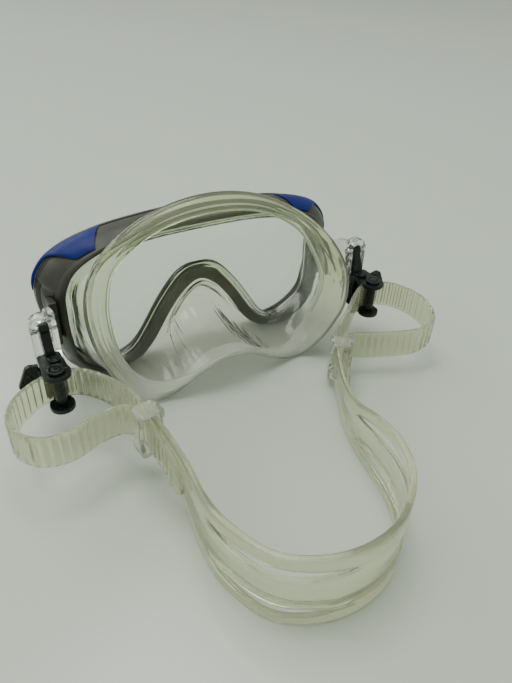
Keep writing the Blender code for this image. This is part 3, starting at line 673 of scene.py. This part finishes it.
def make_buckle(side, sign, black):
    """Black moulding that hangs on the swivel pin: a flat link, a spine, a top plate and a bottom flange."""
    link = arc((PIN_Y, PIN_Z), 3.2, -20, 180) + [
        (29.6, 44.0), (31.6, 40.0), (SPINE_FRONT, 36.0), (SPINE_FRONT, 30.0), (SPINE_BACK, 30.0),
        (SPINE_BACK, PLATE_UNDER), (38.6, 41.5), (36.4, 45.0),
    ]
    top = arc((ROLLER_X, ROLLER_Y), 6.2, -25, 205) + [
        (80.9, SPINE_FRONT + 1.2), (82.1, SPINE_FRONT), (90.0, SPINE_FRONT), (91.2, SPINE_FRONT + 1.2),
    ]
    flange = arc((ROLLER_X, ROLLER_Y), 5.6, -30, 210)
    flange += [(SPINE_LOW_X, SPINE_FRONT), (SPINE_HIGH_X, SPINE_FRONT)]
    spine_low = (SPINE_LOW_X, SPINE_FRONT, FLANGE_UNDER + 0.4)
    spine_high = (SPINE_HIGH_X, SPINE_BACK, PLATE_TOP - 0.4)
    joins = [
        prism("top_plate", top, "XY", PLATE_UNDER, PLATE_TOP),
        prism("flange", flange, "XY", FLANGE_UNDER, FLANGE_TOP),
        box("spine", spine_low, spine_high),
    ]
    cuts = [
        pin_bore("link_bore", (0, PIN_Y, PIN_Z), "X", PIN_R, ARM_LOW, ARM_HIGH),
        pin_bore("roller_bore", (ROLLER_X, ROLLER_Y), "Z", POST_R, FLANGE_UNDER, PLATE_TOP),
        pin_bore("pawl_bore", (PAWL_X, PAWL_Y), "Z", PAWL_PIN_R, FLANGE_UNDER, PLATE_TOP),
    ]
    base = mirrored(prism("link", link, "YZ", ARM_LOW, ARM_HIGH), sign)
    joins, cuts = ([mirrored(mesh, sign) for mesh in meshes] for meshes in (joins, cuts))
    mesh = moulded("buckle", base, joins, cuts, rounds=4)
    piece(f"buckle_moulding_{side}", mesh, f"buckle_{side}", f"buckle_body_{side}", "buckle_black", black)


def make_post(name, node, side, x, y, radius, head, sign, black):
    """Upright pin with a dished round head on the buckle's top plate."""
    low, under, top = FLANGE_UNDER + CLEARANCE, PLATE_TOP + CLEARANCE, PLATE_TOP + 1.5
    profile = [
        (radius - 0.2, low), (radius, low + 0.2), (radius, under), (head, under), (head, top - 0.35),
        (head - 0.12, top - 0.1), (head - 0.4, top), (head * 0.74, top), (head * 0.7, top - 0.1),
        (head * 0.64, top - 0.45), (head * 0.58, top - 0.45), (head * 0.52, top - 0.12),
        (head * 0.45, top - 0.05), (0.05, top),
    ]
    mesh = mirrored(turned("post", (x, y), "Z", profile), sign)
    piece(f"{name}_{side}", mesh, f"buckle_{side}", f"{node}_{side}", "buckle_black", black)


def make_roller(side, sign, black):
    """Sleeve that the strap turns round, and the post that it spins on."""
    low, high, bevel = FLANGE_TOP + CLEARANCE, PLATE_UNDER - CLEARANCE, 0.3
    profile = [
        (ROLLER_R - bevel, low), (ROLLER_R, low + bevel), (ROLLER_R, high - bevel), (ROLLER_R - bevel, high),
        (ROLLER_BORE, high), (ROLLER_BORE, low),
    ]
    rings = []
    for radius, z in profile:
        rings.append([(x, y, z) for x, y in arc((sign * ROLLER_X, ROLLER_Y), radius, 0, 352.5, 47)])
    mesh = loft("roller", rings, along=True)
    piece(f"strap_roller_{side}", mesh, f"roller_{side}", f"roller_{side}", "buckle_black", black)
    make_post("roller_post", "roller_pin", side, ROLLER_X, ROLLER_Y, POST_R, POST_HEAD_R, sign, black)


def make_pawl(side, sign, black):
    """Toothed pawl that grips the strap's ribs, with a finger wing that reaches out to the side."""
    low, high = FLANGE_TOP + CLEARANCE, PLATE_UNDER - CLEARANCE
    outline = arc((PAWL_X, PAWL_Y), PAWL_EYE_R, 90, 270) + [(92.6, PAWL_Y - 1.5), (92.6, PAWL_Y + 1.1)]
    tooth_pitch = 1.2
    for tooth in range(3):
        tip = 91.4 - tooth_pitch * tooth
        outline += [(tip, PAWL_Y + 1.8), (tip - tooth_pitch / 2, PAWL_Y + 1.1)]
    wing = [
        (91.8, 31.0), (91.8, 38.4), (95.6, 39.2), (97.4, 38.4), (101.4, 29.4), (100.4, 27.8), (95.4, 31.2),
    ]
    plate = mirrored(prism("wing", wing, "XZ", PAWL_Y - 1.4, PAWL_Y + 1.0), sign)
    bore = pin_bore("eye", (PAWL_X, PAWL_Y), "Z", PAWL_PIN_R, low, high)
    base = mirrored(prism("pawl", outline, "XY", low, high), sign)
    mesh = moulded("pawl", base, [plate], [mirrored(bore, sign)], rounds=3)
    piece(f"release_pawl_{side}", mesh, f"pawl_{side}", f"pawl_{side}", "buckle_black", black)
    make_post("pawl_post", "pawl_pin", side, PAWL_X, PAWL_Y, PAWL_PIN_R, PAWL_PIN_HEAD_R, sign, black)


# ---- strap and keepers ----

def strap_at(position):
    """The strap's centre line at a fractional path point, as (x, y, z, half height)."""
    scaled = min(max(position * PATH_STEPS, 0), len(STRAP_CURVE) - 1.001)
    i = int(scaled)
    return STRAP_CURVE[i] * (i + 1 - scaled) + STRAP_CURVE[i + 1] * (scaled - i)


def rib_height(length):
    """1 on a rib and 0 between ribs, for a distance along the strap."""
    phase = length / RIB_PITCH % 1.0
    return ramp(phase, 0.3, 0.42) * (1 - ramp(phase, 0.82, 0.94))


def strap_stations(first, last):
    """Path points between first and last: close together on the ribs and wider apart elsewhere."""
    lengths = np.concatenate([[0], np.cumsum(np.linalg.norm(np.diff(STRAP_CURVE[:, :3], axis=0), axis=1))])
    places = np.arange(len(STRAP_CURVE)) / PATH_STEPS
    reach = np.interp([first, last], places, lengths)
    tip = 0.0 if first == 0 else lengths[-1]
    marks = [reach[0]]
    while marks[-1] < reach[1]:
        here = np.interp(marks[-1], lengths, places)
        ribbed = here < RIB_ENDS[0] or here > RIB_ENDS[1]
        marks.append(marks[-1] + (RIB_PITCH / 8 if ribbed else 1.5))
    marks = np.array(marks[:-1] + [reach[1]])
    return [(np.interp(m, lengths, places), m, abs(m - tip)) for m in marks]


def slot_opening(place, level):
    """Half height of the slot at this path point and level, or 0 where the strap is whole."""
    for first, last, height in STRAP_SLOTS:
        if height == level and first < place < last:
            return SLIT + SLOT_HALF_HEIGHT * math.sin(math.pi * (place - first) / (last - first)) ** 0.6
    return 0.0


def strap_column(place, length, from_tip):
    """Cross-section of the strap at a station, as rows of (height, rib side, plain side)."""
    half = strap_at(place)[3]
    round_tip = math.sqrt(max(0.05, 1 - max(0.0, 1 - from_tip / TIP_RADIUS) ** 2))
    plain = ramp(place, RIB_ENDS[0], RIB_ENDS[0] + 1.5) * (1 - ramp(place, RIB_ENDS[1] - 1.5, RIB_ENDS[1]))
    pad = ramp(place, *PAD_START) * (1 - ramp(place, *PAD_END))
    # Rows from the bottom edge to the top one, each with its fullness: less than 1 rounds an edge.
    heights = [(-half, 0.45), (-half + 0.35, 0.85), (-half + 1.1, 1.0)]
    for level in SLOT_LEVELS:
        opening = max(SLIT, slot_opening(place, level))
        for offset, fullness in ((-1.6, 1.0), (-0.6, 1.0), (0, 0.6)):
            heights.append((level * half - opening + offset, fullness))
        for offset, fullness in ((0, 0.6), (0.6, 1.0), (1.6, 1.0)):
            heights.append((level * half + opening + offset, fullness))
        if level == LOW_SLOT:
            low, high = heights[-1][0], HIGH_SLOT * half - SLIT - SLOT_HALF_HEIGHT - 1.6
            heights += [(low + (high - low) * t, 1.0) for t in (0.08, 0.3, 0.5, 0.7, 0.92)]
    top = heights[-1][0]
    heights += [(top + (half - 1.1 - top) * 0.5, 1.0), (half - 1.1, 1.0), (half - 0.35, 0.85), (half, 0.45)]
    beside_slot = any(slot_opening(place, level) > 0 for level in SLOT_LEVELS)
    rows = []
    for number, (height, fullness) in enumerate(heights):
        edge = half - abs(height)
        ribs = rib_height(length) * (1 - plain) * ramp(edge, 0.5, 1.4) * ramp(from_tip, 6.0, TIP_RADIUS)
        rib_side = RIBLESS_HALF_THICK + (HALF_THICK - RIBLESS_HALF_THICK) * max(ribs, 0.5 * plain)
        in_panel = number in PANEL_ROWS
        ridge = 0.55 if in_panel else 1.0
        whole = 1.0 if not beside_slot or fullness > 0.7 else 0.75
        shape = (1 - pad) + pad * ridge * whole
        soft = fullness if number < 3 or number > len(heights) - 4 or beside_slot else 1.0
        rib_side = rib_side * shape * soft + 0.25 * pad * (not in_panel)
        rows.append((height * round_tip, rib_side, HALF_THICK * shape * soft))
    return rows


def strap_half(name, first, last):
    """A closed strap mesh with real slots, the numbers of its clearer panel's faces, and how many faces
    it meets the other half with: those come last."""
    stations = strap_stations(first, last)
    columns = [strap_column(*station) for station in stations]
    count = len(columns[0])
    points = []
    for (place, _, _), rows in zip(stations, columns):
        x, y, z, _ = strap_at(place)
        run = (strap_at(place + 0.04) - strap_at(place - 0.04))[:2]
        run /= np.linalg.norm(run)
        for height, rib_side, plain_side in rows:
            for turn, thick in ((-1, rib_side), (1, plain_side)):
                points.append((x + turn * run[1] * thick, y - turn * run[0] * thick, z + height))
    faces, panel = [], []

    def corner(i, row, turn):
        return (i * count + row) * 2 + turn

    def skin(i, row, turn):
        """Face on one side of the strap."""
        return [corner(*place, turn) for place in ((i, row), (i + 1, row), (i + 1, row + 1), (i, row + 1))]

    def edge_along(i, row):
        """Face through the strap's thickness, along a row."""
        return [corner(i, row, 0), corner(i + 1, row, 0), corner(i + 1, row, 1), corner(i, row, 1)]

    def edge_up(i, row):
        """Face through the strap's thickness, across it at a station."""
        return [corner(i, row, 0), corner(i, row + 1, 0), corner(i, row + 1, 1), corner(i, row, 1)]

    def is_open(i, row):
        if row not in SLOT_ROWS or not 0 <= i < len(stations) - 1:
            return False
        return all(slot_opening(stations[k][0], SLOT_ROWS[row]) > 0 for k in (i, i + 1))

    for i in range(len(stations) - 1):
        for row in range(count - 1):
            if is_open(i, row):
                faces += [edge_along(i, row), edge_along(i, row + 1)]
                for end, beyond in ((i, i - 1), (i + 1, i + 1)):
                    if not is_open(beyond, row):
                        faces.append(edge_up(end, row))
                continue
            in_panel = PANEL_ROWS.start - 1 <= row < PANEL_ROWS.stop
            if in_panel and PANEL_ENDS[0] < stations[i][0] < PANEL_ENDS[1]:
                panel += [len(faces), len(faces) + 1]
            faces += [skin(i, row, turn) for turn in (0, 1)]
        faces += [edge_along(i, 0), edge_along(i, count - 1)]
    meeting = len(stations) - 1 if first == 0 else 0
    for end in (len(stations) - 1 - meeting, meeting):
        faces += [edge_up(end, row) for row in range(count - 1)]
    return mesh_of(name, points, faces), panel, count - 1


def make_strap(silicone, joint, clear):
    """The strap as two halves that meet behind the head."""
    for side, first, last in (("left", 0, STRAP_MIDDLE), ("right", STRAP_MIDDLE, len(STRAP_PATH) - 1)):
        mesh, panel, meeting = strap_half("strap", first, last)
        half = piece(f"strap_half_{side}", mesh, None, "strap", "strap_silicone", silicone, joint, clear)
        for face in half.data.polygons[-meeting:]:
            face.material_index = 1
        for number in panel:
            half.data.polygons[number].material_index = 2
        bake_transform(half)


def divided(outline, gap=0.8):
    """The outline with extra points on its long straight runs."""
    points = []
    for (x0, z0), (x1, z1) in zip(outline, outline[1:] + outline[:1]):
        parts = max(1, round(math.dist((x0, z0), (x1, z1)) / gap))
        points += [(x0 + (x1 - x0) * t / parts, z0 + (z1 - z0) * t / parts) for t in range(parts)]
    return points


def make_keeper(side, clear):
    """Clear loop that holds the tail beside the strap: wide caps, and slimmer bars beside the bands."""
    main, tail = KEEPERS[side]
    near, far, ahead = strap_at(main), strap_at(tail), strap_at(main + 1)
    run = (ahead - near)[:2]
    run /= np.linalg.norm(run)
    middle = np.array([(near[0] + far[0]) / 2, (near[1] + far[1]) / 2, near[2]])
    along, across = np.array([run[0], run[1], 0]), np.array([run[1], -run[0], 0])
    half_thick, half_tall = KEEPER_THICK / 2, KEEPER_TALL / 2
    outer = divided(round_box((-half_thick, -half_tall), (half_thick, half_tall), 1.0, 6))
    section = [(0.25, 0.5), (0.0, 0.46), (0.0, 0.2), (0.0, -0.2), (0.0, -0.46), (0.25, -0.5)]
    section += [(KEEPER_WALL, reach) for reach in (-0.5, -0.2, 0.2, 0.5)]
    rings = []
    for shrink, reach in section:
        ring = []
        for a, b in outer:
            slim = 1 - 0.38 * (1 - ramp(abs(b), half_tall - 6.5, half_tall - 4.0))
            a *= (half_thick - shrink) / half_thick
            b *= (half_tall - shrink) / half_tall
            ring.append(middle + along * reach * KEEPER_LONG * slim + across * a + np.array([0, 0, b]))
        rings.append(ring)
    mesh = loft("keeper", rings, along=True)
    piece(f"strap_keeper_{side}", mesh, f"keeper_{side}", f"keeper_{side}", "clear_plastic", clear)


# ---- setting ----

def make_camera():
    """The camera stands behind the mask, above and to the wearer's left."""
    data = bpy.data.cameras.new("camera")
    data.lens, data.sensor_width = 31.54, 36.0
    camera = bpy.data.objects.new("camera", data)
    bpy.context.scene.collection.objects.link(camera)
    bpy.context.scene.camera = camera
    heading, pitch, roll = math.radians(31.44), math.radians(35.2), math.radians(2.47)
    level = Vector((-math.sin(heading), -math.cos(heading), 0))
    ahead = level * math.cos(pitch) - Vector((0, 0, math.sin(pitch)))
    right = Vector((-math.cos(heading), math.sin(heading), 0))
    down = ahead.cross(right)
    across = right * math.cos(roll) - down * math.sin(roll)
    under = right * math.sin(roll) + down * math.cos(roll)
    matrix = Matrix((across, -under, -ahead)).transposed().to_4x4()
    matrix.translation = metre((117.6, 263.4, 198.45))
    camera.matrix_world = matrix


def make_floor():
    reach, level = 6.0, -0.0003
    signs = ((-1, -1), (1, -1), (1, 1), (-1, 1))
    mesh = bpy.data.meshes.new("table")
    mesh.from_pydata([(x * reach, y * reach, level) for x, y in signs], [], [(0, 1, 2, 3)])
    shade = Shade("table_white_gloss", (0.62, 0.665, 0.61), 0.2, Specular_IOR_Level=0.5)
    shade.range(shade.noise(3.0, 3.0), "Roughness", 0.18, 0.24)
    mesh.materials.append(shade.material)
    table = bpy.data.objects.new("table", mesh)
    bpy.context.scene.collection.objects.link(table)


def add_area(name, place, target, size, power, colour):
    """A rectangular soft light at a place, turned to its target."""
    data = bpy.data.lights.new(name, "AREA")
    data.shape, data.size, data.size_y = "RECTANGLE", *size
    data.energy, data.color = power, colour
    light = bpy.data.objects.new(name, data)
    light.location = place
    light.rotation_mode = "QUATERNION"
    light.rotation_quaternion = (Vector(target) - Vector(place)).to_track_quat("-Z", "Y")
    bpy.context.scene.collection.objects.link(light)


def make_light():
    world = bpy.data.worlds.new("soft_room")
    world.use_nodes = True
    background = world.node_tree.nodes["Background"]
    background.inputs["Color"].default_value = (0.8, 0.86, 0.76, 1)
    background.inputs["Strength"].default_value = 0.6
    bpy.context.scene.world = world
    add_area("ceiling_panel", (0.1, -0.3, 2.0), (0, 0, 0), (1.3, 1.3), 23.0, (0.97, 1.0, 0.93))
    add_area("far_panel", (0.9, -1.9, 1.4), (0, -0.1, 0), (2.0, 0.8), 17.0, (0.97, 1.0, 0.92))
    add_area("window_fill", (1.5, -0.5, 1.0), (0, 0, 0.03), (0.8, 0.6), 3.0, (0.99, 1.0, 0.92))


EDGE_RING, OPENING_RING = ring_of(FRAME_EDGE), ring_of(LENS_OPENING)
DEPTH_RING = ring_of_values(FRAME_DEPTH)
STRAP_CURVE = smooth(STRAP_PATH, PATH_STEPS, False)

make_camera()
make_floor()
make_light()
GREY = grey_moulding()
GLOSS = dark_gloss()
BLUE = blue_moulding()
BLACK = black_moulding()
STEEL = steel_pin()
WALL = clear_silicone("skirt_clear_silicone", clarity=0.975, hazier=0.03)
LIP = clear_silicone("skirt_hazy_silicone", clarity=0.9, hazier=0.22)
CLEAR = clear_plastic("bracket_clear_plastic", (0.95, 0.96, 0.95), roughness=0.04, clarity=0.97)
FROSTED = clear_plastic("keeper_clear_plastic", (0.93, 0.94, 0.85), roughness=0.08, clarity=0.88)
MILKY = milky_silicone("strap_milky_silicone")
MEETING = milky_silicone("strap_inner_meeting_face", alpha=0.0)
PANEL = milky_silicone("strap_clear_panel", clarity=0.96)

make_frame(GREY, GLOSS)
make_bezel(GREY)
make_lens(tempered_glass())
make_skirt(WALL, LIP)
for SIDE, SIGN in SIDES:
    make_accent(SIDE, SIGN, BLUE)
    make_bracket(SIDE, SIGN, CLEAR, STEEL)
    make_buckle(SIDE, SIGN, BLACK)
    make_roller(SIDE, SIGN, BLACK)
    make_pawl(SIDE, SIGN, BLACK)
    make_keeper(SIDE, FROSTED)
make_strap(MILKY, MEETING, PANEL)
